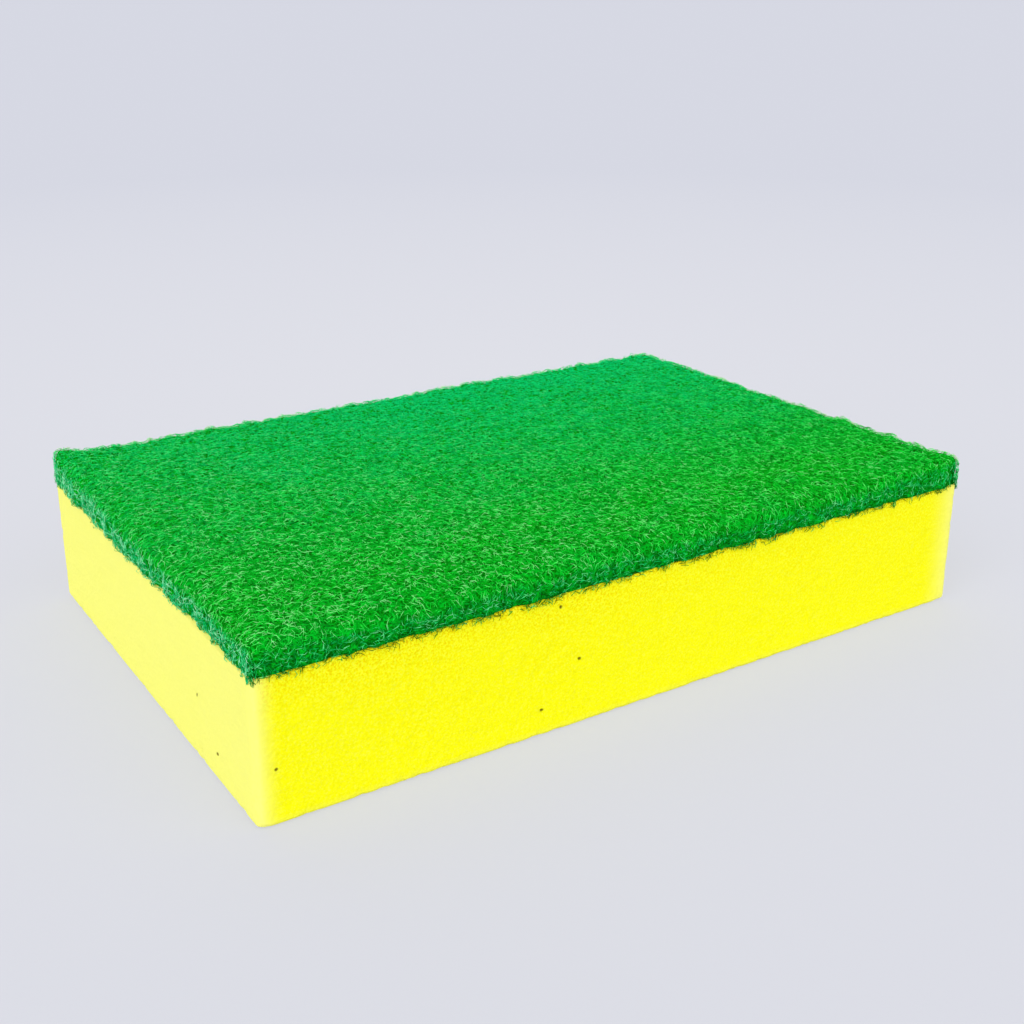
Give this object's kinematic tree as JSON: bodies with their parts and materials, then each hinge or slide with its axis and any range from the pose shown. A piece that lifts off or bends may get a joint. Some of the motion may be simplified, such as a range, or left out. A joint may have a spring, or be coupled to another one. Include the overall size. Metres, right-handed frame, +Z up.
{
  "type": "sponge scourer",
  "caption": "Flat rectangular kitchen scouring sponge: yellow open-cell foam block faced on top with a green non-woven scouring web.",
  "frame": {"origin": "middle of the foam's underside", "axes": "+X along the long side, +Y along the short side, +Z up from the foam's underside to the scouring web"},
  "size_m": [0.151, 0.101, 0.0309],
  "materials": {
    "foam": "matte",
    "web": "matte"
  },
  "bodies": {
    "root": {"foam_block": "foam", "scouring_web": "web"}
  },
  "joints": []
}
